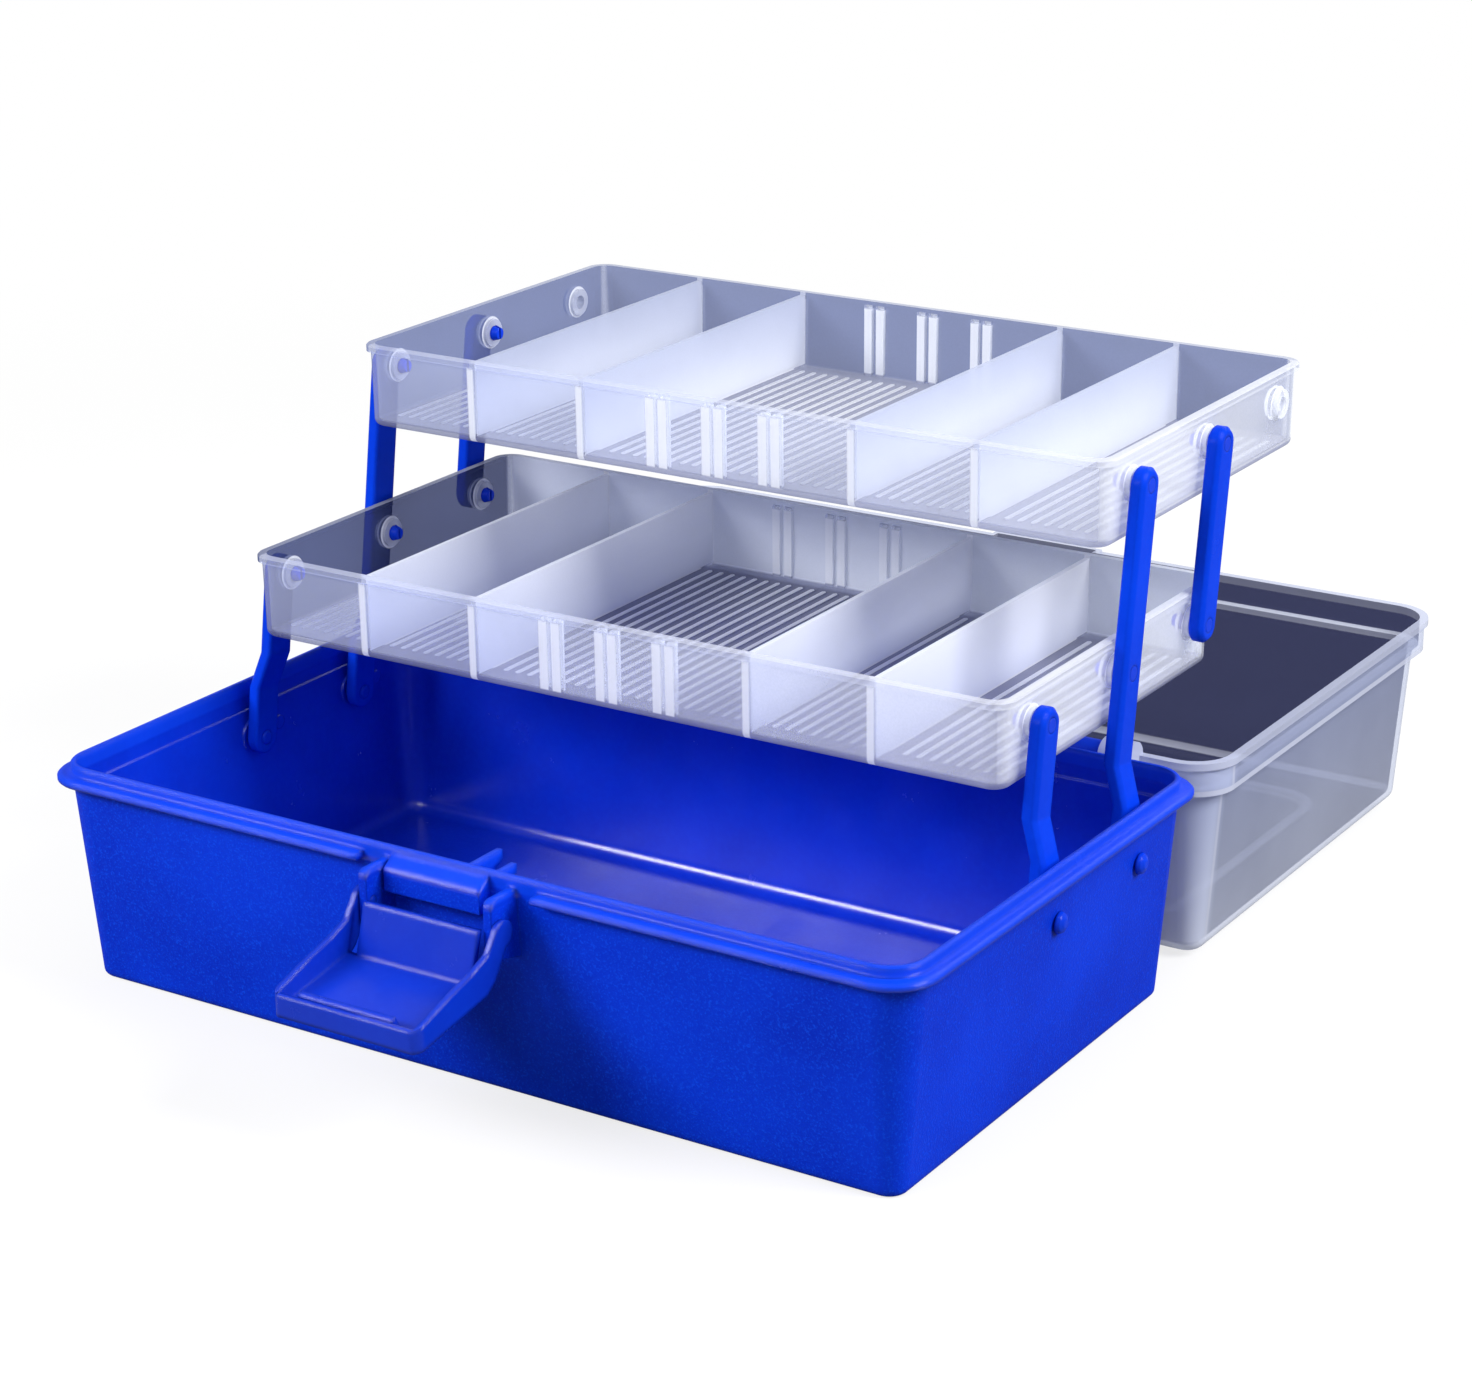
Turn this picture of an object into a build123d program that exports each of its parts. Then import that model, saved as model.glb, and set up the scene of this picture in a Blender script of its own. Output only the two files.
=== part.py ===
"""Cantilever tackle box, shown open: tub, hinged clear lid, two linked trays, arms, latch, handle.

Millimetres. X runs along the length, the latch side faces -Y, Z is up and z = 0 is the ground.
The origin is the centre of the tub's footprint. Everything is written in the open pose.
"""
import os
from math import cos, radians, sin, tan

from build123d import *

# Tub
BASE_LENGTH = 330.0
BASE_WIDTH = 194.0
RIM_HEIGHT = 76.7
LIP_RISE = 3.7
BASE_DRAFT = 4.67
WALL_INSET = 4.0
BASE_WALL = 2.6
BASE_FLOOR = 2.6
BASE_CORNER = 6.5
FLANGE_CORNER = 15.5
FLANGE_THICKNESS = 2.4
STEP_DROP = 10.0
STEP_DEPTH = 0.8

# Clearances shared by the fits
RUNNING_FIT = 0.06
GAP = 0.4

# Trays
TRAY_SIDE_ROOM = 45.3
TRAY_HEIGHT = 29.2
TRAY_WALL = 1.6
TRAY_LIP = 1.3
TRAY_LIP_HEIGHT = 2.4
TRAY_DRAFT = 0.8
TRAY_CORNER = 6.5
DIVIDER_WALL = 1.8
DIVIDER_SHARES = (-0.3371, -0.1818, 0.1818, 0.3371)
SLOT_SHARES = (-0.0754, 0.0, 0.0754)
SLOT_PITCH = 4.9
SLOT_RIB = 3.0
FLOOR_RIB_PITCH = 4.75
FLOOR_RIB_WIDTH = 1.7
FLOOR_RIB_HEIGHT = 0.5

# Arms and their pivots
ARM_WIDTH = 11.5
ARM_THICKNESS = 5.0
ARM_SPAN = 60.0
PIVOT_PITCH = 55.0
PIVOT_INSET = 40.0
PIVOT_DROP = 15.8
LEAN = 8.5
PIN_RADIUS = 2.5
BOSS_RADIUS = 5.0
BOSS_DROP = 11.2
BOSS_RISE = 1.2
BOSS_STAND = 0.3
ARM_OFFSET = 6.0
ARM_ROUNDING = 1.3
JOG = 4.4
JOG_START = 18.0
JOG_END = 31.0

# Lid, given for the shut lid
LID_RISE = 0.3
LID_DEPTH = 74.0
LID_WALL = 1.8
LID_LIP = 1.3
LID_LIP_HEIGHT = 3.0
LID_BAND_HEIGHT = 12.0
LID_STEP = 3.0
LID_DRAFT = 4.2
LID_CORNER = 16.5
PLATEAU_RISE = 2.0
PLATEAU_INSET = 33.0
PLATEAU_SIDE_INSET = 31.0
PLATEAU_CORNER = 14.0

# Lid hinge
HINGE_OUT = 2.9
HINGE_RISE = 0.65
HINGE_INSET = 46.0
LUG_WIDTH = 12.0
LUG_RADIUS = 4.3
KNUCKLE_WIDTH = 11.0
KNUCKLE_RADIUS = 6.0
HINGE_PIN_RADIUS = 1.5

# Latch
LATCH_OUT = 5.5
LATCH_DROP = 11.0
LATCH_TURN = 118.0
LATCH_WALL = 2.0
LATCH_HALF = 27.5
LATCH_PIN_RADIUS = 1.7
LATCH_HUB = 4.5
LATCH_CORNER = 4.0
LATCH_REACH = 44.3
EAR_WALL = 3.0
FLANGE_CUT = 33.0
PAD_SPAN = (-21.0, 15.4)
HOOK_SPAN = (-20.5, 15.0)
CATCH_HALF = 23.5
CATCH_OUT = 2.0
CATCH_HEIGHT = 28.8
FINS = ((7.6, 18.0, 14.0), (18.0, 11.0, 9.0))
FIN_WALL = 2.0
FIN_DROP = 1.4

# Side view of the open latch, as steps out and up from its pivot
LATCH_CREST = ((-3.4, 3.0), (-8.2, -3.8), (-16.8, -7.0), (-27.5, -9.8), (-44.3, -15.0))
LATCH_UNDER = ((-43.9, -22.4), (-9.5, -16.6), (-5.1, -13.4), (1.0, -4.2))
LATCH_FLOOR = ((-8.5, -14.4), (-43.9, -20.4), (-43.9, -22.4), (-9.5, -16.6))
LATCH_LIP = ((-42.3, -15.0), (-44.3, -15.0), (-43.9, -22.4), (-41.9, -22.1))
LATCH_PANEL = ((-3.3, 1.6), (-5.3, 1.6), (-10.3, -16.3), (-8.5, -15.8))

# Carry handle in the lid's recess
RECESS_LENGTH = 126.0
RECESS_WIDTH = 48.0
RECESS_DEPTH = 11.0
RECESS_CORNER = 2.5
HANDLE_REACH = 33.0
HANDLE_LEG = 8.0
HANDLE_GRIP = 13.0
HANDLE_THICKNESS = 7.6
TRUNNION_RADIUS = 2.5

# Sizes that follow from the ones above
SLOPE = tan(radians(BASE_DRAFT))
SHOULDER_HEIGHT = RIM_HEIGHT - LIP_RISE
PIVOT_Y = BASE_WIDTH / 2 - PIVOT_INSET - PIVOT_PITCH
PIVOT_Z = SHOULDER_HEIGHT - PIVOT_DROP
HINGE_X = BASE_LENGTH / 2 - HINGE_INSET
HINGE_Y = BASE_WIDTH / 2 + HINGE_OUT
HINGE_Z = SHOULDER_HEIGHT + HINGE_RISE
LATCH_Y = -BASE_WIDTH / 2 - LATCH_OUT
LATCH_Z = SHOULDER_HEIGHT - LATCH_DROP
EAR_TOP = SHOULDER_HEIGHT - GAP / 2
CATCH_FACE = BASE_WIDTH / 2 + CATCH_OUT
BASE_FOOT_LENGTH = BASE_LENGTH - 2 * WALL_INSET - 2 * RIM_HEIGHT * SLOPE
BASE_FOOT_WIDTH = BASE_WIDTH - 2 * WALL_INSET - 2 * RIM_HEIGHT * SLOPE
STEP_HEIGHT = RIM_HEIGHT - STEP_DROP
PIVOT_WALL_X = BASE_FOOT_LENGTH / 2 + PIVOT_Z * SLOPE
TRAY_LENGTH = round(2 * (PIVOT_WALL_X - ARM_OFFSET - JOG - ARM_THICKNESS / 2 - GAP - BOSS_STAND), 1)
BOSS_OUTER_X = TRAY_LENGTH / 2 + BOSS_STAND
ARM_X = BOSS_OUTER_X + GAP + ARM_THICKNESS / 2
FOOT_X = ARM_X + JOG
TRAY_WIDTH = BASE_WIDTH - TRAY_SIDE_ROOM
DIVIDER_PLACES = [round(share * TRAY_LENGTH, 1) for share in DIVIDER_SHARES]
SLOT_PLACES = [round(share * TRAY_LENGTH, 1) for share in SLOT_SHARES]
BOSS_Z = TRAY_HEIGHT - BOSS_DROP
TRAY_TOP_HALF = TRAY_LENGTH / 2 - TRAY_LIP
TRAY_WALL_X = TRAY_TOP_HALF - BOSS_DROP * tan(radians(TRAY_DRAFT))
BOSS_INNER_X = TRAY_WALL_X - TRAY_WALL - BOSS_RISE
LID_RIM_Z = SHOULDER_HEIGHT + LID_RISE
LID_TOP_Z = LID_RIM_Z + LID_DEPTH
PANEL_Z = LID_TOP_Z - PLATEAU_RISE
PLATEAU_LENGTH = BASE_LENGTH - 2 * PLATEAU_INSET
PLATEAU_WIDTH = BASE_WIDTH - 2 * PLATEAU_SIDE_INSET
HANDLE_Z = LID_TOP_Z - RECESS_DEPTH / 2
HANDLE_Y = RECESS_WIDTH / 2 - HANDLE_THICKNESS / 2 - 1.5


def wall_reach(height):
    """Half length of the tub's outer wall at a height."""
    return BASE_FOOT_LENGTH / 2 + height * SLOPE


def drafted_block(length, width, corner, bottom, top, draft):
    """Rounded block, sized at its bottom, whose walls lean outward going up."""
    outline = Plane.XY.offset(bottom) * RectangleRounded(length, width, corner)
    return extrude(outline, amount=top - bottom, taper=-draft)


def block(length, width, corner, bottom, top):
    """Rounded block with upright walls."""
    outline = Plane.XY.offset(bottom) * RectangleRounded(length, width, corner)
    return extrude(outline, amount=top - bottom)


def span_box(x0, x1, y0, y1, z0, z1):
    """Plain box between two corners."""
    centre = ((x0 + x1) / 2, (y0 + y1) / 2, (z0 + z1) / 2)
    return Pos(*centre) * Box(x1 - x0, y1 - y0, z1 - z0)


def side_plate(points, x0, x1):
    """Plate with an outline in Y and Z, standing between two X values."""
    outline = Plane.YZ * Polygon(*points, align=None)
    return Pos(x0, 0, 0) * extrude(outline, amount=x1 - x0)


def rod_x(radius, x0, x1, y, z):
    """Round bar along X."""
    return Pos((x0 + x1) / 2, y, z) * Rot(0, 90, 0) * Cylinder(radius, x1 - x0)


def both_sides(solid):
    """A solid and its mirror image across the middle of the length."""
    return [solid, mirror(solid, about=Plane.YZ)]


def base_cavity():
    """Inside of the tub, with the small outward step under the rim."""
    lower_length = BASE_FOOT_LENGTH + 2 * BASE_FLOOR * SLOPE - 2 * BASE_WALL
    lower_width = BASE_FOOT_WIDTH + 2 * BASE_FLOOR * SLOPE - 2 * BASE_WALL
    lower = drafted_block(lower_length, lower_width, BASE_CORNER, BASE_FLOOR, RIM_HEIGHT + 5, BASE_DRAFT)
    lower = fillet(lower.faces().sort_by(Axis.Z)[0].edges(), 4.5)
    upper_wall = BASE_WALL - STEP_DEPTH
    upper_length = BASE_FOOT_LENGTH + 2 * STEP_HEIGHT * SLOPE - 2 * upper_wall
    upper_width = BASE_FOOT_WIDTH + 2 * STEP_HEIGHT * SLOPE - 2 * upper_wall
    corner = BASE_CORNER + STEP_HEIGHT * SLOPE - upper_wall
    upper = drafted_block(upper_length, upper_width, corner, STEP_HEIGHT, RIM_HEIGHT + 5, BASE_DRAFT)
    return lower + upper


def base_shell():
    """Drafted tub with its raised lip and the outward flange below it."""
    outer = drafted_block(BASE_FOOT_LENGTH, BASE_FOOT_WIDTH, BASE_CORNER, 0, RIM_HEIGHT, BASE_DRAFT)
    outer = fillet(outer.faces().sort_by(Axis.Z)[0].edges(), 2.5)
    outer = chamfer(outer.faces().sort_by(Axis.Z)[-1].edges(), 0.5)
    low = SHOULDER_HEIGHT - FLANGE_THICKNESS
    flange = block(BASE_LENGTH, BASE_WIDTH, FLANGE_CORNER, low, SHOULDER_HEIGHT)
    flange = chamfer(flange.faces().sort_by(Axis.Z)[-1].edges(), 0.7)
    flange = chamfer(flange.faces().sort_by(Axis.Z)[0].edges(), 0.5)
    flange -= span_box(-FLANGE_CUT, FLANGE_CUT, -BASE_WIDTH, 0, 0, RIM_HEIGHT)
    return outer + flange


def hinge_lug():
    """Solid lug on the rear wall that stands between the lid's two knuckles."""
    foot = BASE_WIDTH / 2 - WALL_INSET - 1.5
    points = [
        (foot, SHOULDER_HEIGHT - 14),
        (foot + 4.5, SHOULDER_HEIGHT - 14),
        (HINGE_Y + LUG_RADIUS - 0.1, HINGE_Z - 1.5),
        (HINGE_Y, HINGE_Z),
        (HINGE_Y - LUG_RADIUS, SHOULDER_HEIGHT),
        (foot, SHOULDER_HEIGHT),
    ]
    x0 = HINGE_X - LUG_WIDTH / 2
    x1 = HINGE_X + LUG_WIDTH / 2
    lug = side_plate(points, x0, x1) + rod_x(LUG_RADIUS, x0, x1, HINGE_Y, HINGE_Z)
    return lug - rod_x(HINGE_PIN_RADIUS + RUNNING_FIT, x0 - 1, x1 + 1, HINGE_Y, HINGE_Z)


def hinge_notch():
    """Room in the tub's flange for the lid's knuckles."""
    reach = LUG_WIDTH / 2 + GAP + KNUCKLE_WIDTH + GAP
    front = HINGE_Y - KNUCKLE_RADIUS - GAP
    return span_box(HINGE_X - reach, HINGE_X + reach, front, BASE_WIDTH, 0, RIM_HEIGHT)


def latch_ear():
    """Ear on the front wall that carries one end of the latch pin."""
    foot = -(BASE_WIDTH / 2 - WALL_INSET) + 2.5
    front = LATCH_Y - 3.0
    points = [
        (foot, EAR_TOP),
        (front + 2.0, EAR_TOP),
        (front + 0.6, EAR_TOP - 0.6),
        (front, EAR_TOP - 2.0),
        (front, LATCH_Z - 5.5),
        (front + 3.0, LATCH_Z - 9.0),
        (foot, LATCH_Z - 12.0),
    ]
    outer = LATCH_HALF - LATCH_WALL - GAP
    ear = side_plate(points, outer - EAR_WALL, outer)
    return ear - rod_x(LATCH_PIN_RADIUS + RUNNING_FIT, 0, LATCH_HALF, LATCH_Y, LATCH_Z)


def catch_pad():
    """Pad between the ears, with the sloped top that guides the lid's catch."""
    foot = -(BASE_WIDTH / 2 - WALL_INSET) + 2.5
    face = -(CATCH_FACE - 0.7)
    points = [
        (foot, RIM_HEIGHT - 1.6),
        (foot - 2.6, RIM_HEIGHT - 1.6),
        (face, SHOULDER_HEIGHT - 1.6),
        (face, LATCH_Z + 2.0),
        (foot, LATCH_Z + 2.0),
    ]
    return side_plate(points, *PAD_SPAN)


def front_fins():
    """Two small upright ribs inside the front rim."""
    foot = -(BASE_WIDTH / 2 - WALL_INSET) + 1.0
    fins = []
    top = RIM_HEIGHT - FIN_DROP
    for x, reach, drop in FINS:
        points = [(foot, top), (foot + reach, top), (foot + reach, top - 3.0), (foot, top - drop)]
        fins.append(side_plate(points, x - FIN_WALL / 2, x + FIN_WALL / 2))
    return fins


def arm_places():
    """Y of the two pivots on each end wall of the tub."""
    return (PIVOT_Y, PIVOT_Y + PIVOT_PITCH)


def stop_nub(y):
    """Nub behind an arm that stops it from leaning further back."""
    reach = ARM_WIDTH / 2 + GAP + PIN_RADIUS
    lean = radians(LEAN)
    place_y = y + 4 * sin(lean) + reach * cos(lean)
    place_z = PIVOT_Z + 4 * cos(lean) - reach * sin(lean)
    return rod_x(PIN_RADIUS, FOOT_X - 1.0, wall_reach(PIVOT_Z) - 1, place_y, place_z)


def base_tub():
    """Moulded tub with hinge lugs, latch ears, pad, fins, pivot bosses and stops."""
    tub = base_shell()
    for notch in both_sides(hinge_notch()):
        tub -= notch
    tub += catch_pad()
    tub += latch_ear() + mirror(latch_ear(), about=Plane.YZ)
    tub -= base_cavity()
    for lug in both_sides(hinge_lug()):
        tub += lug
    for fin in front_fins():
        tub += fin
    boss_face = FOOT_X + ARM_THICKNESS / 2 + 0.35
    for y in arm_places():
        for boss in both_sides(rod_x(BOSS_RADIUS + 1, boss_face, wall_reach(PIVOT_Z) - 1, y, PIVOT_Z)):
            tub += boss
        for nub in both_sides(stop_nub(y)):
            tub += nub
    for y in arm_places():
        tub -= rod_x(PIN_RADIUS + RUNNING_FIT, -BASE_LENGTH, BASE_LENGTH, y, PIVOT_Z)
    return tub


def floor_ribs():
    """Fine raised lines that run front to back on a tray's floor."""
    half = TRAY_WIDTH / 2 - 12.0
    count = int((TRAY_TOP_HALF - 6.0) / FLOOR_RIB_PITCH)
    ribs = []
    w = FLOOR_RIB_WIDTH / 2
    for number in range(-count, count + 1):
        x = number * FLOOR_RIB_PITCH
        if min(abs(x - place) for place in DIVIDER_PLACES) < 2.6:
            continue
        outline = [(x - w, -half), (x, -half - w), (x + w, -half)]
        outline += [(x + w, half), (x, half + w), (x - w, half)]
        rib = Plane.XY.offset(TRAY_WALL - 0.2) * Polygon(*outline, align=None)
        ribs.append(extrude(rib, amount=FLOOR_RIB_HEIGHT + 0.2))
    return ribs


def slot_ribs():
    """Pairs of upright ribs on the long walls, for loose dividers."""
    reach = TRAY_WIDTH / 2 - TRAY_LIP - TRAY_WALL
    top = TRAY_HEIGHT - 1.2
    ribs = []
    for place in SLOT_PLACES:
        for side in (-1, 1):
            x = place + side * SLOT_PITCH / 2
            for front in (-1, 1):
                inner = front * (reach - 1.6)
                outer = front * (reach + 0.6)
                low, high = min(inner, outer), max(inner, outer)
                ribs.append(span_box(x - SLOT_RIB / 2, x + SLOT_RIB / 2, low, high, 1.0, top))
    return ribs


def tray():
    """Divided tray about its own centre, standing on z = 0."""
    drop = TRAY_HEIGHT * tan(radians(TRAY_DRAFT))
    length = TRAY_LENGTH - 2 * TRAY_LIP - 2 * drop
    width = TRAY_WIDTH - 2 * TRAY_LIP - 2 * drop
    body = drafted_block(length, width, TRAY_CORNER, 0, TRAY_HEIGHT, TRAY_DRAFT)
    body = fillet(body.faces().sort_by(Axis.Z)[0].edges(), 2.6)
    lip = block(TRAY_LENGTH, TRAY_WIDTH, TRAY_CORNER + TRAY_LIP, TRAY_HEIGHT - TRAY_LIP_HEIGHT, TRAY_HEIGHT)
    lip = chamfer(lip.faces().sort_by(Axis.Z)[-1].edges(), 0.5)
    body += lip
    inner_length = length - 2 * TRAY_WALL
    inner_width = width - 2 * TRAY_WALL
    corner = TRAY_CORNER - TRAY_WALL
    cavity = drafted_block(inner_length, inner_width, corner, TRAY_WALL, TRAY_HEIGHT + 2, TRAY_DRAFT)
    cavity = chamfer(cavity.faces().sort_by(Axis.Z)[0].edges(), 0.8)
    body -= cavity
    for place in DIVIDER_PLACES:
        half = TRAY_WIDTH / 2 - TRAY_LIP - 0.8
        x0 = place - DIVIDER_WALL / 2
        body += span_box(x0, x0 + DIVIDER_WALL, -half, half, 1.0, TRAY_HEIGHT - 1.0)
    body += slot_ribs()
    body += floor_ribs()
    for place in (-PIVOT_PITCH, 0.0, PIVOT_PITCH):
        for boss in both_sides(rod_x(BOSS_RADIUS, BOSS_INNER_X, BOSS_OUTER_X, place, BOSS_Z)):
            body += boss
    for place in (-PIVOT_PITCH, 0.0, PIVOT_PITCH):
        bore = rod_x(PIN_RADIUS + RUNNING_FIT, BOSS_INNER_X - 2, BOSS_OUTER_X + 2, place, BOSS_Z)
        for hole in both_sides(bore):
            body -= hole
    return body


def link_point(y, z, span):
    """Point one or more spans up a leaning arm from its lower pivot."""
    lean = radians(LEAN)
    return y + span * sin(lean), z + span * cos(lean)


def side_edges(body, direction):
    """Outline edges of an arm's faces towards +X or -X, without the fold lines of its jog."""
    edges = ShapeList()
    for face in body.faces():
        if face.normal_at().X * direction > 0.5:
            edges += face.edges().filter_by(Axis.Y, reverse=True)
    return edges


def arm(length, places, jogged):
    """Flat arm that rises from the origin, with rounded ends and a sideways jog if it needs one."""
    half = ARM_THICKNESS / 2
    low = -ARM_WIDTH / 2
    high = length + ARM_WIDTH / 2
    shift = JOG if jogged else 0.0
    points = [
        (shift - half, low),
        (shift + half, low),
        (shift + half, JOG_START),
        (half, JOG_END),
        (half, high),
        (-half, high),
        (-half, JOG_END),
        (shift - half, JOG_START),
    ]
    side = extrude(Plane.XZ * Polygon(*points, align=None), amount=ARM_WIDTH, both=True)
    outline = Plane.YZ * Pos(0, length / 2) * SlotCenterToCenter(length, ARM_WIDTH, rotation=90)
    body = side & extrude(outline, amount=ARM_WIDTH, both=True)
    body = chamfer(side_edges(body, 1), ARM_ROUNDING)
    body = chamfer(side_edges(body, -1), ARM_ROUNDING / 2)
    for place in places:
        body -= rod_x(PIN_RADIUS, -ARM_WIDTH, ARM_WIDTH, 0, place)
    return body


def placed_arm(body, y, z):
    """An arm set at its lower pivot on the right side and leaned back."""
    return Pos(ARM_X, y, z) * Rot(-LEAN, 0, 0) * body


def snap_pin(shaft, length, barb):
    """Plain pin along -X with its outer end at the origin, split at the tip."""
    tip = length + 2.3
    points = [
        (0, 0),
        (0, shaft),
        (-length, shaft),
        (-length, barb),
        (-tip, shaft - 0.4),
        (-tip, 0),
    ]
    pin = revolve(Plane.XY * Polygon(*points, align=None), axis=Axis.X)
    return pin - span_box(-tip - 1, -tip + 4, -0.45, 0.45, -2 * shaft, 2 * shaft)


def tray_pin(y, z):
    """Pin pressed flush into an arm that runs in a tray's boss, right side."""
    outer = ARM_X + ARM_THICKNESS / 2
    length = outer - BOSS_INNER_X + 0.35
    pin = snap_pin(PIN_RADIUS, length, PIN_RADIUS + 0.35)
    return Pos(outer, y, z) * pin


def base_pin(y):
    """Pin from outside the tub's end wall into the foot of an arm, right side."""
    outer = wall_reach(PIVOT_Z + 4.2) + 0.35
    tail = FOOT_X - ARM_THICKNESS / 2
    points = [
        (2.3, 0),
        (2.3, 1.4),
        (1.4, 3.0),
        (0, 3.7),
        (0, PIN_RADIUS),
        (tail - outer, PIN_RADIUS),
        (tail - outer - 0.6, PIN_RADIUS - 0.5),
        (tail - outer - 0.6, 0),
    ]
    pin = revolve(Plane.XY * Polygon(*points, align=None), axis=Axis.X)
    return Pos(outer, y, PIVOT_Z) * pin


def lid_outer(inset):
    """Outside of the shut lid, drawn smaller by an inset: band, drafted wall and plateau."""
    length = BASE_LENGTH - 2 * (LID_LIP + 0.5) - 2 * inset
    width = BASE_WIDTH - 2 * (LID_LIP + 0.5) - 2 * inset
    corner = LID_CORNER - LID_LIP - inset
    band_top = LID_RIM_Z + LID_BAND_HEIGHT - inset
    band = block(length, width, corner, LID_RIM_Z - (1 if inset else 0), band_top)
    reach = PANEL_Z - inset - LID_RIM_Z
    shape = RectangleRounded(length - 2 * LID_STEP, width - 2 * LID_STEP, corner - LID_STEP)
    wall = extrude(Plane.XY.offset(LID_RIM_Z) * shape, amount=reach, taper=LID_DRAFT)
    wall = fillet(wall.faces().sort_by(Axis.Z)[-1].edges(), 5.0 - inset)
    plateau_size = (PLATEAU_LENGTH - 2 * inset, PLATEAU_WIDTH - 2 * inset, PLATEAU_CORNER - inset)
    plateau = block(*plateau_size, PANEL_Z - 8, LID_TOP_Z - inset)
    plateau = chamfer(plateau.faces().sort_by(Axis.Z)[-1].edges(), 0.9)
    return band + wall + plateau


def lid_knuckle(x0, x1):
    """Knuckle of the lid's hinge with the web that joins it to the band."""
    root = BASE_WIDTH / 2 - LID_LIP - 0.5 - 1.0
    points = [
        (root, LID_RIM_Z),
        (HINGE_Y, LID_RIM_Z),
        (HINGE_Y, HINGE_Z + KNUCKLE_RADIUS),
        (root, HINGE_Z + KNUCKLE_RADIUS + 3.0),
    ]
    return side_plate(points, x0, x1) + rod_x(KNUCKLE_RADIUS, x0, x1, HINGE_Y, HINGE_Z)


def catch_block(inset):
    """Raised block on the lid's front that the latch hooks over, drawn smaller by an inset."""
    half = CATCH_HALF - inset
    top = LID_RIM_Z + CATCH_HEIGHT - inset
    root = CATCH_FACE - 19.0
    shape = span_box(-half, half, -(CATCH_FACE - inset), -root, LID_RIM_Z - (1 if inset else 0), top)
    edges = shape.edges().filter_by(Axis.Y).group_by(Axis.Z)[-1]
    return fillet(edges, 6 - inset)


def lid_shut():
    """Clear lid in its shut place over the tub."""
    lip = block(BASE_LENGTH - 1, BASE_WIDTH - 1, LID_CORNER, LID_RIM_Z, LID_RIM_Z + LID_LIP_HEIGHT)
    lip = chamfer(lip.faces().sort_by(Axis.Z)[-1].edges(), 0.7)
    for side in (-1, 1):
        reach = LUG_WIDTH / 2 + GAP
        centre = side * HINGE_X
        lip -= span_box(centre - reach, centre + reach, HINGE_Y - 20, BASE_WIDTH, 0, RIM_HEIGHT + 20)
    shell = lid_outer(0) + lip + catch_block(0)
    reach = LUG_WIDTH / 2 + GAP
    for side in (-1, 1):
        for x0 in (HINGE_X - reach - KNUCKLE_WIDTH, HINGE_X + reach):
            knuckle = lid_knuckle(x0, x0 + KNUCKLE_WIDTH)
            shell += knuckle if side > 0 else mirror(knuckle, about=Plane.YZ)
    shell -= lid_outer(LID_WALL) + catch_block(LID_WALL)
    well = LID_WALL
    well_size = (RECESS_LENGTH + 2 * well, RECESS_WIDTH + 2 * well, RECESS_CORNER + well)
    shell += block(*well_size, LID_TOP_Z - RECESS_DEPTH - well, LID_TOP_Z - 0.5)
    hinge_end = RECESS_LENGTH / 2 + 4.5
    shell += rod_x(BOSS_RADIUS - 0.5, -hinge_end, hinge_end, HANDLE_Y, HANDLE_Z)
    shell -= block(RECESS_LENGTH, RECESS_WIDTH, RECESS_CORNER, LID_TOP_Z - RECESS_DEPTH, LID_TOP_Z + 1)
    bore_end = RECESS_LENGTH / 2 + 3.0
    shell -= rod_x(TRUNNION_RADIUS + RUNNING_FIT, -bore_end, bore_end, HANDLE_Y, HANDLE_Z)
    for pin in both_sides(hinge_pin_shut()):
        shell -= pin
    return shell


def hinge_pin_shut():
    """Plain pin through the right pair of knuckles and the lug between them."""
    reach = LUG_WIDTH / 2 + GAP + KNUCKLE_WIDTH
    return rod_x(HINGE_PIN_RADIUS, HINGE_X - reach, HINGE_X + reach - 1.5, HINGE_Y, HINGE_Z)


def handle_shut():
    """Carry handle folded flat into the lid's recess, lid shut."""
    leg_outer = RECESS_LENGTH / 2 - 0.8
    grip_y = HANDLE_Y - HANDLE_REACH
    half = HANDLE_THICKNESS / 2
    outline = Pos(0, (HANDLE_Y + grip_y) / 2) * Rectangle(2 * leg_outer, HANDLE_REACH)
    outline += Pos(0, grip_y) * RectangleRounded(2 * leg_outer, HANDLE_GRIP, HANDLE_GRIP / 2 - 0.1)
    outline += Pos(leg_outer - HANDLE_LEG / 2, HANDLE_Y) * Rectangle(HANDLE_LEG, 2 * half)
    outline += Pos(-leg_outer + HANDLE_LEG / 2, HANDLE_Y) * Rectangle(HANDLE_LEG, 2 * half)
    window_top = HANDLE_Y + half + 1
    window_low = grip_y + HANDLE_GRIP / 2
    window = Rectangle(2 * (leg_outer - HANDLE_LEG), window_top - window_low)
    window = Pos(0, (window_top + window_low) / 2) * window
    body = extrude(Plane.XY.offset(HANDLE_Z - half) * (outline - window), amount=2 * half)
    rear = body.edges().filter_by(Axis.X).group_by(Axis.Y)[-1]
    body = fillet(rear, half - 0.4)
    axle = rod_x(TRUNNION_RADIUS, leg_outer - 1, RECESS_LENGTH / 2 + 2.6, HANDLE_Y, HANDLE_Z)
    for side in both_sides(axle):
        body += side
    return body


def opened(solid):
    """A piece of the shut lid turned back through half a turn about the hinge."""
    return solid.rotate(Axis((0, HINGE_Y, HINGE_Z), (1, 0, 0)), 180)


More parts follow.
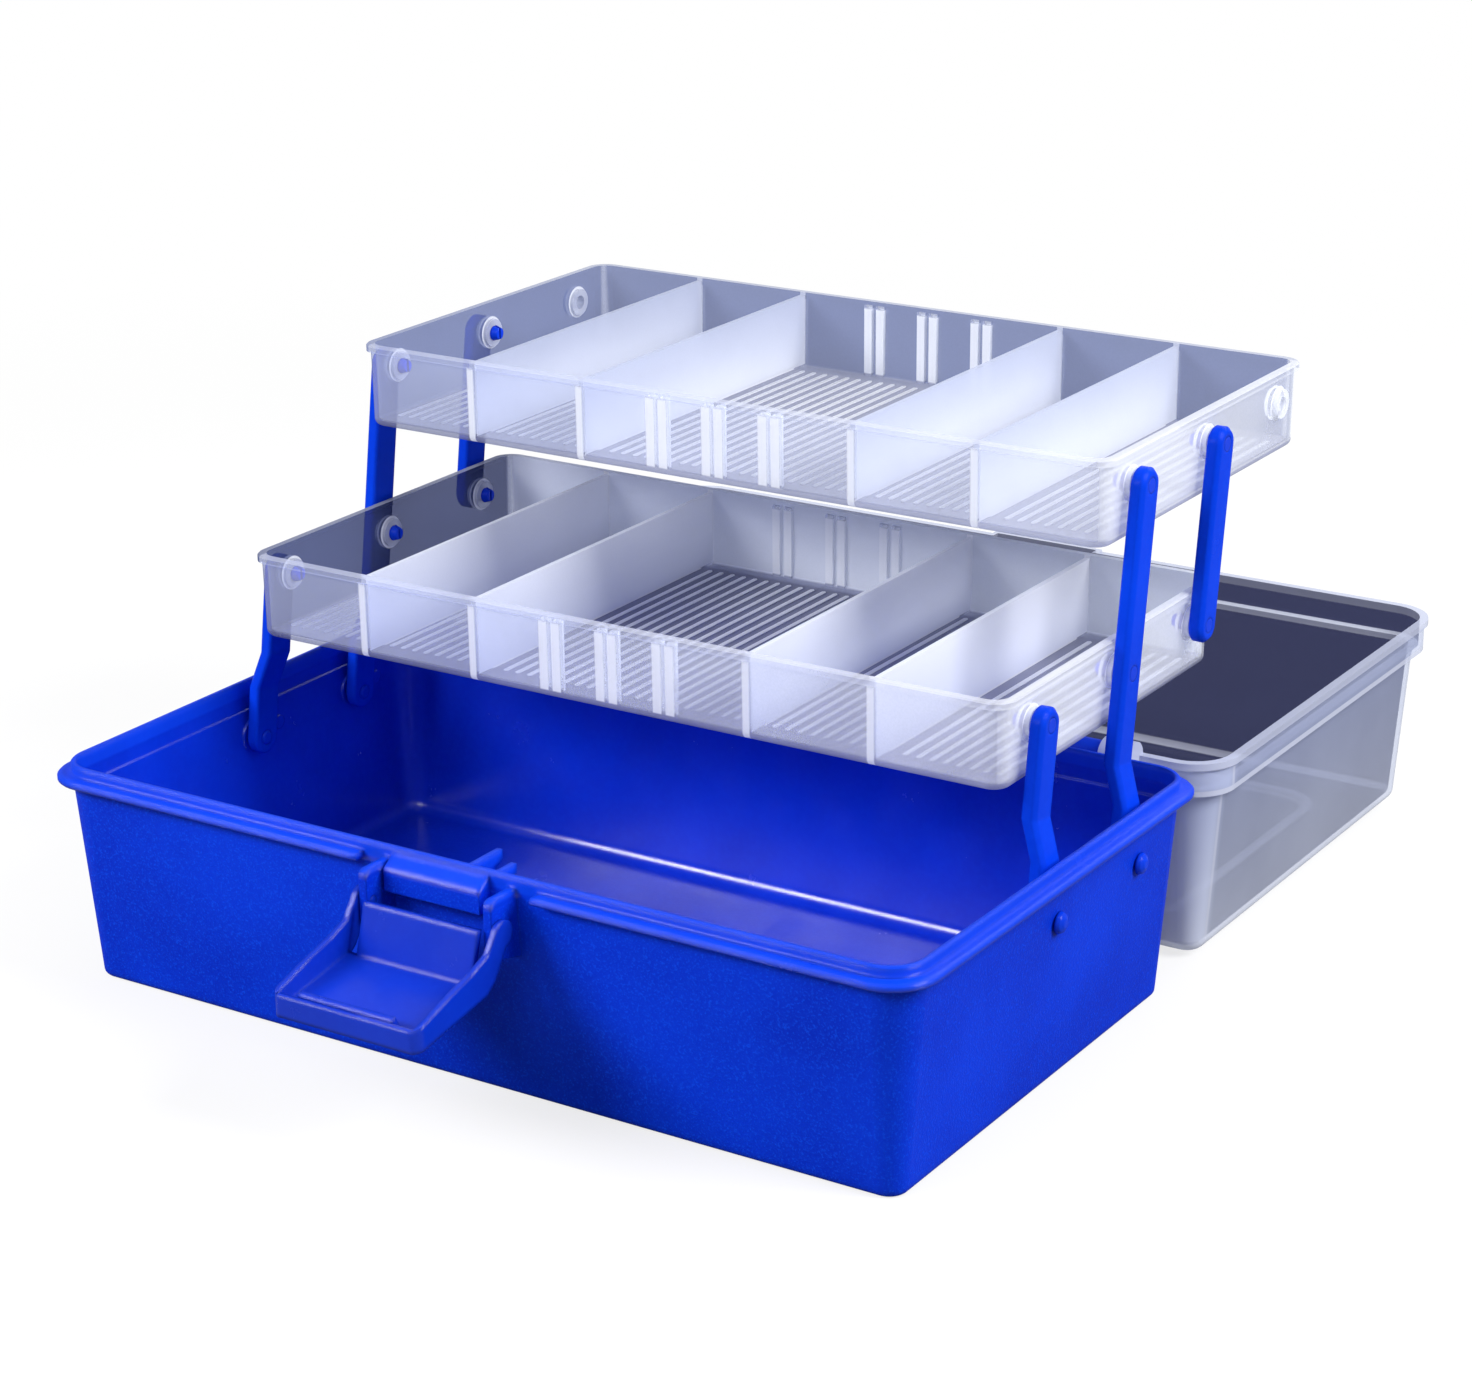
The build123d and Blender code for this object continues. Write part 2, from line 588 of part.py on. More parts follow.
def latch_hook():
    """Bar that drops over the lid's catch, turned from its shut place to the open one."""
    under = LID_RIM_Z + CATCH_HEIGHT + 0.5
    hook = span_box(*HOOK_SPAN, LATCH_Y - 3.5, -(CATCH_FACE - 1.2), under, under + 2.2)
    return hook.rotate(Axis((0, LATCH_Y, LATCH_Z), (1, 0, 0)), LATCH_TURN)


def from_pivot(steps):
    """Points of the latch's side view, from steps out and up from its pivot."""
    return [(LATCH_Y + out, LATCH_Z + rise) for out, rise in steps]


def latch():
    """Latch hanging open: two arms with stub axles, floor, back panel, front lip and hook bar."""
    inner = LATCH_HALF - LATCH_WALL
    outline = from_pivot(LATCH_CREST + LATCH_UNDER + ((0.0, 0.0),))
    wall = side_plate(outline, inner, LATCH_HALF)
    wall += rod_x(LATCH_HUB, inner, LATCH_HALF, LATCH_Y, LATCH_Z)
    wall += rod_x(LATCH_PIN_RADIUS, inner - GAP - EAR_WALL, LATCH_HALF, LATCH_Y, LATCH_Z)
    body = wall + mirror(wall, about=Plane.YZ)
    body += side_plate(from_pivot(LATCH_FLOOR), -inner - 0.5, inner + 0.5)
    body += side_plate(from_pivot(LATCH_LIP), -inner - 0.5, inner + 0.5)
    panel_half = inner - EAR_WALL - 2 * GAP
    body += side_plate(from_pivot(LATCH_PANEL), -panel_half, panel_half)
    depth = 2 * LATCH_REACH
    centre = LATCH_Y - LATCH_REACH + depth / 2
    plan = Pos(0, centre) * RectangleRounded(2 * LATCH_HALF, depth, LATCH_CORNER)
    body &= extrude(plan, amount=2 * RIM_HEIGHT)
    return body + latch_hook()


def collect():
    """Every piece by name, each in its place in the open box."""
    parts = {}
    parts["base_tub"] = base_tub()
    parts["lid"] = opened(lid_shut())
    right_pin = opened(hinge_pin_shut())
    parts["lid_hinge_pin_right"] = right_pin
    parts["lid_hinge_pin_left"] = mirror(right_pin, about=Plane.YZ)
    parts["carry_handle"] = opened(handle_shut())
    parts["latch"] = latch()

    front_y, rear_y = arm_places()
    first = link_point(front_y, PIVOT_Z, ARM_SPAN)
    second = link_point(first[0] + PIVOT_PITCH, first[1], ARM_SPAN)
    one_tray = tray()
    parts["lower_tray"] = Pos(0, first[0] + PIVOT_PITCH, first[1] - BOSS_Z) * one_tray
    parts["upper_tray"] = Pos(0, second[0] + PIVOT_PITCH, second[1] - BOSS_Z) * one_tray

    short_jogged = arm(ARM_SPAN, (0, ARM_SPAN), True)
    long_jogged = arm(2 * ARM_SPAN, (0, ARM_SPAN, 2 * ARM_SPAN), True)
    short_plain = arm(ARM_SPAN, (0, ARM_SPAN), False)
    upper_y = first[0] + 2 * PIVOT_PITCH
    right = {
        "front_arm": placed_arm(short_jogged, front_y, PIVOT_Z),
        "front_arm_base_pin": base_pin(front_y),
        "front_arm_tray_pin": tray_pin(*first),
        "long_arm": placed_arm(long_jogged, rear_y, PIVOT_Z),
        "long_arm_base_pin": base_pin(rear_y),
        "long_arm_middle_pin": tray_pin(first[0] + PIVOT_PITCH, first[1]),
        "long_arm_top_pin": tray_pin(*second),
        "upper_arm": placed_arm(short_plain, upper_y, first[1]),
        "upper_arm_lower_pin": tray_pin(upper_y, first[1]),
        "upper_arm_top_pin": tray_pin(second[0] + PIVOT_PITCH, second[1]),
    }
    for name, solid in right.items():
        parts["right_" + name] = solid
        parts["left_" + name] = mirror(solid, about=Plane.YZ)
    return parts


def main():
    os.makedirs("parts", exist_ok=True)
    for name, solid in collect().items():
        export_step(solid, os.path.join("parts", name + ".step"))


main()
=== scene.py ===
"""Looks of the open cantilever tackle box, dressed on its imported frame."""
import math
from collections import namedtuple

import bpy
from mathutils import Matrix, Vector


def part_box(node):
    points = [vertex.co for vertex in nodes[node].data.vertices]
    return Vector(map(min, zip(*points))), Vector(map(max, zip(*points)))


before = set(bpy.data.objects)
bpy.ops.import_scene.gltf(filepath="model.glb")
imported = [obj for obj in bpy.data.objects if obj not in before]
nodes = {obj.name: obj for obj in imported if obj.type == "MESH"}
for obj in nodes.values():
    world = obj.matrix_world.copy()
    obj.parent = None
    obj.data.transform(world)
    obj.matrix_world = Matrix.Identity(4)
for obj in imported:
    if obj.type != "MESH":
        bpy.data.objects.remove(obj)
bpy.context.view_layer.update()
scene = bpy.context.scene

MM = 0.001

# Step over which most masks run out
SOFT = 0.4 * MM

# Tub: half sizes of its flange and footprint, draft of its walls, and where its flange and rim begin
TUB_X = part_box("base_tub")[1].x
TUB_Y = 97.0 * MM
FOOT_INSET = 10.26 * MM
FOOT_X = TUB_X - FOOT_INSET
FOOT_Y = TUB_Y - FOOT_INSET
FOOT_CORNER = 6.5 * MM
WALL_SLOPE = 0.08169
FLANGE_UNDER = 70.3 * MM
RIM_FROM = 72.2 * MM
TUB_FLOOR = 3.0 * MM
TUB_EDGE = 0.9 * MM
TUB_BEND = 3.6 * MM

# Trays: places along the length from the middle, across it from the middle, and up from the underside
tray_low, tray_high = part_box("lower_tray")
TRAY_END = (tray_high.x - tray_low.x) / 2 - 1.1 * MM
TRAY_SIDE = (tray_high.y - tray_low.y) / 2 - 0.35 * MM
TRAY_TOP = tray_high.z - tray_low.z - 0.2 * MM
END_WALL = TRAY_END - 3.8 * MM
SIDE_WALL = TRAY_SIDE - 3.8 * MM
TRAY_FLOOR = 2.3 * MM
DIVIDERS = (-98.27 * MM, -53.07 * MM, 53.07 * MM, 98.27 * MM)
SLOTS = (-22.0 * MM, 0.0, 22.0 * MM)
SLOT_RIB = 2.45 * MM
BOSSES = (-55 * MM, 0.0, 55 * MM)
BOSS_UP = 18.0 * MM

# Lid, which lies upside down at rest: its middle, and half sizes and heights of its steps
LID_Y = 199.8 * MM
LID_HEIGHT = 74 * MM
LID_STEP_UP = LID_HEIGHT - 11.2 * MM
LID_RIM_UP = LID_HEIGHT - 3.2 * MM
LID_BAND_Y = TUB_Y - 2.8 * MM
LID_FOOT_INSET = 10.1 * MM
LID_CORNER = 6.4 * MM
RECESS_X, RECESS_Y, RECESS_UP = 64.1 * MM, 25.1 * MM, 12.1 * MM
CATCH_X, CATCH_Y = 24.4 * MM, 94.1 * MM
HOLLOW_X, HOLLOW_Y, HOLLOW_UP = 22.8 * MM, 98.3 * MM, 45.9 * MM
PLATEAU_X = TUB_X - 33 * MM
PLATEAU_Y = TUB_Y - 31 * MM
PLATEAU_CORNER = 14 * MM

# Floor plane and lights
FLOOR_REACH = 6.0
FLOOR_DROP = 0.02 * MM
ROOM_LIGHT = 0.34

# Camera of the photograph: angles in degrees, lengths in metres, focal length in photograph pixels
AZIMUTH, ELEVATION, ROLL = 32.66, 19.8, -0.52
TARGET = (28.24 * MM, 26.28 * MM, 99.14 * MM)
DISTANCE = 1147.08 * MM
PHOTO_WIDTH_PX = 1472
FOCAL_LENGTH_PX = 3529.93
SENSOR_WIDTH = 36.0


def rgba(r, g, b):
    return (r, g, b, 1.0)


BLUE = rgba(0.0015, 0.036, 0.66)
BLUE_PALE = rgba(0.004, 0.085, 0.88)
BLUE_DEEP = rgba(0.0012, 0.024, 0.52)
# Darker blue mixed into the latch as painted shade
BLUE_PAINTED_SHADE = rgba(0.005, 0.032, 0.38)
WHITE = rgba(0.93, 0.95, 1.0)
FROST = rgba(0.80, 0.84, 1.0)
# Paler frost towards the right of the tray front walls, as painted light
FROST_PAINTED_LIGHT = rgba(0.97, 0.98, 1.0)

# Haze is how much a surface covers what is behind it, and behind is the tint of what still shows through
Front = namedtuple("Front", "haze_left haze_right")
Wall = namedtuple("Wall", "haze left right behind")
# A divider's colour goes from above to below down its height, and by its forward share towards the front,
# as a painted gradient of light and shade
Divider = namedtuple("Divider", "more_haze above below forward")
# The two trays are one plastic; the tones that differ between them are painted light and shade: dark left
# walls and a dark upper rear wall as painted shade, a lighter and hazier lower rear wall as painted light
TRAY_TONES = {
    "upper_tray": (
        Front(0.19, 0.22),
        Wall(0.46, rgba(0.26, 0.31, 0.52), rgba(0.26, 0.31, 0.52), rgba(0.66, 0.69, 0.80)),
        Wall(0.46, rgba(0.25, 0.30, 0.51), rgba(0.25, 0.30, 0.51), rgba(0.64, 0.67, 0.79)),
        Divider(0.0, rgba(0.71, 0.75, 0.88), WHITE, 0.0),
    ),
    "lower_tray": (
        Front(0.22, 0.27),
        Wall(0.80, rgba(0.84, 0.88, 1.0), rgba(0.92, 0.95, 1.0), rgba(0.84, 0.86, 0.94)),
        Wall(0.46, rgba(0.09, 0.12, 0.27), rgba(0.09, 0.12, 0.27), rgba(0.50, 0.53, 0.68)),
        Divider(0.30, rgba(0.97, 0.98, 1.0), rgba(0.64, 0.68, 0.84), 0.5),
    ),
}

# Lamps: name, place, target, width and height, watts
LAMPS = (
    ("streak", (-0.70, -0.90, 0.72), (0.0, 0.05, 0.02), (0.80, 0.34), 15.0),
    ("front", (0.10, -1.30, 1.10), (0.0, 0.0, 0.05), (0.90, 0.60), 5.0),
    ("right", (1.20, 0.20, 0.95), (0.0, 0.05, 0.08), (0.70, 0.70), 24.0),
    ("rear", (0.2, 1.5, 1.2), (0.0, 0.1, 0.1), (1.2, 0.8), 9.0),
)


class Shader:
    """A material's node tree with short calls to add and join nodes."""

    def __init__(self, name):
        self.material = bpy.data.materials.new(name)
        self.material.use_nodes = True
        self.tree = self.material.node_tree
        self.tree.nodes.clear()

    def add(self, kind, inputs=None, **settings):
        node = self.tree.nodes.new(kind)
        for key, value in settings.items():
            setattr(node, key, value)
        for key, value in (inputs or {}).items():
            self.feed(node.inputs[key], value)
        return node

    def feed(self, socket, value):
        """Joins a socket to another node's output, or sets it to a number or colour."""
        if isinstance(value, bpy.types.NodeSocket):
            self.tree.links.new(value, socket)
        else:
            socket.default_value = value

    def math(self, operation, a, b=0.0, c=0.0, clamp=False):
        inputs = {0: a, 1: b, 2: c}
        return self.add("ShaderNodeMath", inputs, operation=operation, use_clamp=clamp).outputs[0]

    def ramp(self, value, low, high, out_low=0.0, out_high=1.0, smooth=True):
        inputs = {"Value": value, "From Min": low, "From Max": high, "To Min": out_low, "To Max": out_high}
        kind = "SMOOTHSTEP" if smooth else "LINEAR"
        return self.add("ShaderNodeMapRange", inputs, interpolation_type=kind).outputs["Result"]

    def mix(self, factor, a, b):
        """Colour between a and b."""
        node = self.add("ShaderNodeMix", data_type="RGBA")
        for key, value in (("Factor", factor), ("A", a), ("B", b)):
            self.feed(next(s for s in node.inputs if s.name == key and s.enabled), value)
        return next(s for s in node.outputs if s.enabled)

    def blend(self, factor, a, b, clamp=False):
        """Number between a and b."""
        step = self.math("SUBTRACT", b, a)
        return self.math("MULTIPLY_ADD", step, factor, a, clamp)

    def place(self):
        return self.add("ShaderNodeTexCoord").outputs["Object"]

    def axes(self, vector):
        node = self.add("ShaderNodeSeparateXYZ", {0: vector})
        return node.outputs[0], node.outputs[1], node.outputs[2]

    def noise(self, where, scale, detail=3.0, roughness=0.5):
        inputs = {"Vector": where, "Scale": scale, "Detail": detail, "Roughness": roughness}
        return self.add("ShaderNodeTexNoise", inputs).outputs["Fac"]

    def bump(self, height, distance, strength=1.0, under=None):
        inputs = {"Height": height, "Distance": distance, "Strength": strength}
        if under is not None:
            inputs["Normal"] = under
        return self.add("ShaderNodeBump", inputs).outputs["Normal"]

    def rounded(self, radius, samples):
        """Normal with its edges rounded off."""
        return self.add("ShaderNodeBevel", {"Radius": radius}, samples=samples).outputs[0]

    def plastic(self, colour, roughness, normal, shine):
        inputs = {
            "Base Color": colour,
            "Roughness": roughness,
            "Normal": normal,
            "IOR": 1.49,
            "Specular IOR Level": shine,
        }
        return self.add("ShaderNodeBsdfPrincipled", inputs).outputs[0]

    def join(self, share, first, second):
        """Surface that is the second one by a share."""
        return self.add("ShaderNodeMixShader", {0: share, 1: first, 2: second}).outputs[0]

    def all_of(self, *masks):
        result = masks[0]
        for mask in masks[1:]:
            result = self.math("MULTIPLY", result, mask)
        return result

    def any_of(self, *masks):
        result = masks[0]
        for mask in masks[1:]:
            result = self.math("MAXIMUM", result, mask)
        return result

    def past(self, value, place, soft):
        """0 up to a place and 1 from a soft step beyond it."""
        return self.ramp(value, place, place + soft)

    def short_of(self, value, place, soft):
        """0 from a place on and 1 up to a soft step before it."""
        return self.ramp(value, place, place - soft)

    def within(self, value, place, reach, soft=0.3 * MM):
        """1 closer to a place than a reach, with a soft end."""
        away = self.math("ABSOLUTE", self.math("SUBTRACT", value, place))
        return self.short_of(away, reach, soft)

    def length(self, u, v):
        squares = self.math("ADD", self.math("MULTIPLY", u, u), self.math("MULTIPLY", v, v))
        return self.math("SQRT", squares)

    def near(self, u, v, u0, v0, reach):
        """1 inside a circle about (u0, v0)."""
        away = self.length(self.math("SUBTRACT", u, u0), self.math("SUBTRACT", v, v0))
        return self.short_of(away, reach, SOFT)

    def ring(self, u, v, u0, v0, radius, width):
        """1 on a circular line about (u0, v0)."""
        inside = self.near(u, v, u0, v0, radius + width / 2)
        core = self.near(u, v, u0, v0, radius - width / 2)
        return self.math("SUBTRACT", inside, core)

    def rounded_distance(self, x, y, half_x, half_y, corner, radius):
        """Distance outside a rounded rectangle about the origin; negative inside it."""
        across = self.math("SUBTRACT", self.math("ABSOLUTE", x), half_x - corner)
        along = self.math("SUBTRACT", self.math("ABSOLUTE", y), half_y - corner)
        away = self.length(self.math("MAXIMUM", across, 0.0), self.math("MAXIMUM", along, 0.0))
        return self.math("SUBTRACT", away, radius)

    def local_normal(self):
        normal = self.add("ShaderNodeNewGeometry").outputs["Normal"]
        turn = {"vector_type": "NORMAL", "convert_from": "WORLD", "convert_to": "OBJECT"}
        return self.add("ShaderNodeVectorTransform", {0: normal}, **turn).outputs[0]

    def facing_up(self):
        return self.ramp(self.axes(self.local_normal())[2], 0.35, 0.9)

    def finish(self, surface):
        self.add("ShaderNodeOutputMaterial", {"Surface": surface})
        return self.material


def blue_base(s, where):
    """Colour, roughness and surface height that all blue pieces share."""
    clouds = s.noise(where, 16.0, 3.0)
    colour = s.mix(s.ramp(clouds, 0.35, 0.7), BLUE_DEEP, BLUE)
    fine = s.noise(where, 420.0, 4.0, 0.6)
    colour = s.mix(s.ramp(fine, 0.35, 0.75, 0.0, 0.10), colour, BLUE_PALE)
    gloss = s.ramp(s.noise(where, 60.0, 5.0, 0.65), 0.3, 0.75, 0.18, 0.28)
    height = s.math("MULTIPLY", s.noise(where, 60.0, 2.0), 0.03)
    return colour, gloss, height


def blue_plastic(name, edge, shine, painted_blue, share):
    """Moulded blue plastic: gloss with faint flow marks, with a share of a second blue painted in: paler
    as painted light, darker as painted shade.
    """
    s = Shader(name)
    colour, gloss, height = blue_base(s, s.place())
    colour = s.mix(share, colour, painted_blue)
    normal = s.bump(height, 0.16 * MM, 0.9, s.rounded(edge, 6))
    return s.finish(s.plastic(colour, gloss, normal, shine))


def outside_of_tub(s, x, y, z):
    """1 on the grained outer walls, 0 on the rim, the flange and the inside."""
    radius = s.math("ADD", s.math("MULTIPLY", z, WALL_SLOPE), FOOT_CORNER)
    depth = s.rounded_distance(x, y, FOOT_X, FOOT_Y, FOOT_CORNER, radius)
    outer = s.past(depth, -1.6 * MM, 0.6 * MM)
    return s.all_of(outer, s.short_of(z, FLANGE_UNDER, 0.8 * MM))


def tub_plastic(name):
    """Blue tub: fine spark-eroded grain on the outer walls, a duller rim painted paler as painted light,
    and gloss inside.
    """
    s = Shader(name)
    where = s.place()
    x, y, z = s.axes(where)
    colour, gloss, height = blue_base(s, where)
    # Painted light: the rim is painted paler, as its top faces catch the light
    rim = s.ramp(z, RIM_FROM - 1.4 * MM, RIM_FROM)
    colour = s.mix(s.math("MULTIPLY", rim, 0.30), colour, BLUE_PALE)

    outside = outside_of_tub(s, x, y, z)
    grain = s.noise(where, 1250.0, 2.0, 0.6)
    pits = s.noise(where, 2600.0, 1.0)
    rough = s.math("ADD", s.math("MULTIPLY", grain, 0.75), s.math("MULTIPLY", pits, 0.25))
    height = s.math("ADD", height, s.all_of(rough, outside))
    colour = s.mix(s.all_of(s.ramp(grain, 0.50, 0.72, 0.0, 0.55), outside), colour, BLUE_PALE)

    flange_bend = s.ramp(z, FLANGE_UNDER - 1.0 * MM, FLANGE_UNDER + 0.5 * MM, TUB_EDGE, TUB_BEND)
    floor_bend = s.ramp(z, 10 * MM, 7 * MM, TUB_EDGE, TUB_BEND)
    rounded = s.rounded(s.any_of(flange_bend, floor_bend), 8)
    normal = s.bump(height, 0.16 * MM, 0.9, rounded)

    smooth = s.plastic(colour, gloss, normal, 1.0)
    dull = s.plastic(colour, s.ramp(grain, 0.3, 0.7, 0.38, 0.48), normal, 0.08)
    floor = s.ramp(z, TUB_FLOOR + 0.6 * MM, TUB_FLOOR - 0.1 * MM, 0.0, 0.55)
    share = s.any_of(outside, s.math("MULTIPLY", rim, 0.85), floor)
    return s.finish(s.join(share, smooth, dull))


def lit_and_clear(s, cover, colour, tint, gloss, normal, milk, shine):
    """Moulded see-through plastic: a lit milky surface over a tinted clear one."""
    surface = s.plastic(colour, gloss, normal, shine)
    back = s.add("ShaderNodeBsdfTranslucent", {"Color": colour}).outputs[0]
    clear = s.add("ShaderNodeBsdfTransparent", {"Color": tint}).outputs[0]
    return s.finish(s.join(cover, clear, s.join(milk, surface, back)))


def tray_dividers(s, x, y_size, z):
    """1 on the faces of the four dividers."""
    divider = s.any_of(*[s.within(x, place, 1.3 * MM) for place in DIVIDERS])
    between = s.short_of(y_size, SIDE_WALL + 1.7 * MM, SOFT)
    return s.all_of(divider, between, s.past(z, TRAY_FLOOR - 0.2 * MM, SOFT))


def tray_painted_highlights(s, x, y, z, floor, to_front):
    """Painted highlights on ribs, boss rings and rims."""
    x_size = s.math("ABSOLUTE", x)
    y_size = s.math("ABSOLUTE", y)
    below_rim = s.short_of(z, TRAY_TOP - 2.0 * MM, 0.6 * MM)

    level = s.all_of(s.short_of(y_size, 64.0 * MM, 1.4 * MM), s.short_of(x_size, 142.0 * MM, 1.0 * MM))
    floor_rib = s.all_of(floor, level, s.past(z, TRAY_FLOOR - 0.6 * MM, 0.25 * MM))

    places = [slot + side * SLOT_RIB for slot in SLOTS for side in (-1, 1)]
    slot_rib = s.any_of(*[s.within(x, place, 1.9 * MM, 0.5 * MM) for place in places])
    on_side = s.past(y_size, SIDE_WALL - 0.8 * MM, SOFT)
    slot_rib = s.all_of(slot_rib, on_side, s.past(z, TRAY_FLOOR, 0.7 * MM), below_rim)

    divider_end = s.any_of(*[s.within(x, place, 1.6 * MM, 0.6 * MM) for place in DIVIDERS])
    divider_end = s.all_of(divider_end, s.past(y_size, SIDE_WALL + 1.0 * MM, SOFT), below_rim)

    on_end = s.past(x_size, END_WALL - 0.7 * MM, 0.5 * MM)
    boss = s.any_of(*[s.near(y, z, place, BOSS_UP, 5.5 * MM) for place in BOSSES])
    boss = s.math("MULTIPLY", s.all_of(boss, on_end), 0.45)
    ring = s.any_of(*[s.ring(y, z, place, BOSS_UP, 5.6 * MM, 1.0 * MM) for place in BOSSES])
    ring = s.all_of(ring, on_end)

    top = s.past(z, TRAY_TOP - 0.7 * MM, SOFT)
    rim = s.all_of(top, s.facing_up(), s.blend(to_front, 0.75, 0.30))
    return s.any_of(floor_rib, slot_rib, divider_end, ring, boss, rim)


def tray_plastic(name, box_low, box_high, front_tone, rear_tone, left_tone, divider_tone):
    """Frosted tray: clearer grey rear and left walls, milky front and dividers, with painted light and
    shade across them and painted highlights on ribs and rims.
    """
    s = Shader(name)
    where = s.place()
    x, y, z = s.axes(where)
    y = s.math("SUBTRACT", y, (box_low.y + box_high.y) / 2)
    z = s.math("SUBTRACT", z, box_low.z)
    to_right = s.ramp(x, -TRAY_END, TRAY_END, smooth=False)
    to_front = s.ramp(y, TRAY_SIDE, -TRAY_SIDE, smooth=False)
    down = s.ramp(z, TRAY_TOP, 0.0, smooth=False)

    # Front wall: painted light, paler and hazier towards the right
    cover = s.blend(to_right, front_tone.haze_left, front_tone.haze_right)
    colour = s.mix(to_right, FROST, FROST_PAINTED_LIGHT)
    tint = s.mix(to_right, rgba(0.90, 0.92, 0.99), rgba(0.96, 0.97, 1.0))

    # Floor: painted light, paler towards the right
    floor = s.short_of(z, TRAY_FLOOR + 0.4 * MM, SOFT)
    cover = s.blend(floor, cover, s.blend(to_right, 0.26, 0.42))
    colour = s.mix(floor, colour, s.mix(to_right, rgba(0.52, 0.54, 0.68), rgba(0.74, 0.76, 0.90)))
    tint = s.mix(floor, tint, rgba(0.62, 0.64, 0.74))

    # Rear, left and right walls: painted light and shade by the trays' wall tones, and the right wall
    # painted hazier towards the front as painted light
    rear = s.past(y, SIDE_WALL, 0.8 * MM)
    left = s.short_of(x, -END_WALL, 0.8 * MM)
    for wall, tone in ((rear, rear_tone), (left, left_tone)):
        cover = s.blend(wall, cover, tone.haze)
        colour = s.mix(wall, colour, s.mix(to_right, tone.left, tone.right))
        tint = s.mix(wall, tint, tone.behind)
    right = s.past(x, END_WALL, 0.8 * MM)
    cover = s.blend(right, cover, s.blend(to_front, 0.22, 0.38))

    # Dividers: painted light and shade, hazier lower down and towards the right, coloured by the tray's
    # divider tones
    divider = tray_dividers(s, x, s.math("ABSOLUTE", y), z)
    haze = s.blend(down, s.blend(to_right, 0.50, 0.70), s.blend(to_right, 0.78, 0.92))
    cover = s.blend(divider, cover, s.math("ADD", haze, divider_tone.more_haze, clamp=True))
    depth = s.blend(divider_tone.forward, down, to_front)
    colour = s.mix(divider, colour, s.mix(depth, divider_tone.above, divider_tone.below))
    tint = s.mix(divider, tint, rgba(0.84, 0.86, 0.93))

    # Painted highlights: whiter and hazier on ribs, boss rings and rims
    tray_highlight = tray_painted_highlights(s, x, y, z, floor, to_front)
    cover = s.blend(tray_highlight, cover, 0.86)
    colour = s.mix(tray_highlight, colour, WHITE)

    # Clouds in the haze, fine grain and uneven gloss
    clouds = s.noise(where, 22.0, 4.0)
    fine = s.noise(where, 1500.0, 2.0, 0.6)
    cover = s.math("ADD", cover, s.ramp(clouds, 0.3, 0.7, -0.02, 0.02))
    cover = s.math("ADD", cover, s.ramp(fine, 0.3, 0.7, -0.008, 0.008), clamp=True)
    gloss = s.ramp(s.noise(where, 75.0, 4.0, 0.6), 0.3, 0.7, 0.34, 0.46)
    return lit_and_clear(s, cover, colour, tint, gloss, s.bump(fine, 0.01 * MM, 0.3), 0.35, 0.25)


def lid_inner_side(s, where, x_size, y, y_size, z):
    """1 on faces that look into the lid, 0 on its outside, handle recess, catch block and knuckles."""
    middle = (0.0, LID_Y, LID_HEIGHT / 2)
    from_middle = s.add("ShaderNodeVectorMath", {0: where, 1: middle}, operation="SUBTRACT").outputs[0]
    outward = s.add("ShaderNodeVectorMath", {0: s.local_normal(), 1: from_middle}, operation="DOT_PRODUCT")
    inner = s.ramp(outward.outputs["Value"], 3 * MM, -3 * MM)
    recess = s.all_of(
        s.short_of(x_size, RECESS_X, SOFT),
        s.short_of(y_size, RECESS_Y, SOFT),
        s.short_of(z, RECESS_UP, SOFT),
    )
    hollow = s.all_of(
        s.short_of(x_size, HOLLOW_X, SOFT),
        s.short_of(y, HOLLOW_Y, SOFT),
        s.past(z, HOLLOW_UP, SOFT),
    )
    catch = s.all_of(
        s.past(y, CATCH_Y, SOFT),
        s.short_of(x_size, CATCH_X, SOFT),
        s.math("SUBTRACT", 1.0, hollow),
    )
    knuckle = s.short_of(y, -LID_BAND_Y, SOFT)
    return s.math("SUBTRACT", inner, s.any_of(recess, catch, knuckle), clamp=True)


def lid_painted_highlights(s, x, y, z, inner):
    """Painted highlights along the edges of the plateau, the step, the rim, the bends and the seam along
    the lid's foot.
    """
    outer = s.math("SUBTRACT", 1.0, inner)
    x_size = s.math("ABSOLUTE", x)
    y_size = s.math("ABSOLUTE", y)
    outline = s.rounded_distance(x, y, PLATEAU_X, PLATEAU_Y, PLATEAU_CORNER, PLATEAU_CORNER)
    near_outline = s.ramp(s.math("ABSOLUTE", outline), 3.6 * MM, 1.6 * MM, 0.0, 0.8)
    plateau = s.all_of(near_outline, s.short_of(z, 6 * MM, 1 * MM), inner)

    from_step = s.math("ABSOLUTE", s.math("SUBTRACT", z, LID_STEP_UP))
    step = s.ramp(from_step, 1.3 * MM, 0.9 * MM, 0.0, 0.8)
    rim = s.ramp(z, LID_RIM_UP, LID_RIM_UP + 0.5 * MM, 0.0, 0.55)

    foot_x, foot_y = TUB_X - LID_FOOT_INSET, TUB_Y - LID_FOOT_INSET
    edge = s.rounded_distance(x, y, foot_x, foot_y, LID_CORNER, LID_CORNER)
    at_seam = s.within(edge, -1.4 * MM, 1.9 * MM, 0.7 * MM)
    seam = s.all_of(at_seam, s.ramp(z, 7.2 * MM, 6.4 * MM, 0.0, 0.9), inner)
    at_foot = s.within(z, 4.0 * MM, 2.2 * MM, 1.6 * MM)
    foot = s.all_of(at_foot, s.ramp(edge, -1.5 * MM, 0.0, 0.0, 0.6), outer)
    at_bend = s.within(y_size, 80.5 * MM, 1.3 * MM, 1.0 * MM)
    bend = s.all_of(at_bend, s.ramp(x_size, 148 * MM, 150 * MM, 0.0, 0.55), outer)
    return s.any_of(plateau, step, rim, seam, foot, bend)


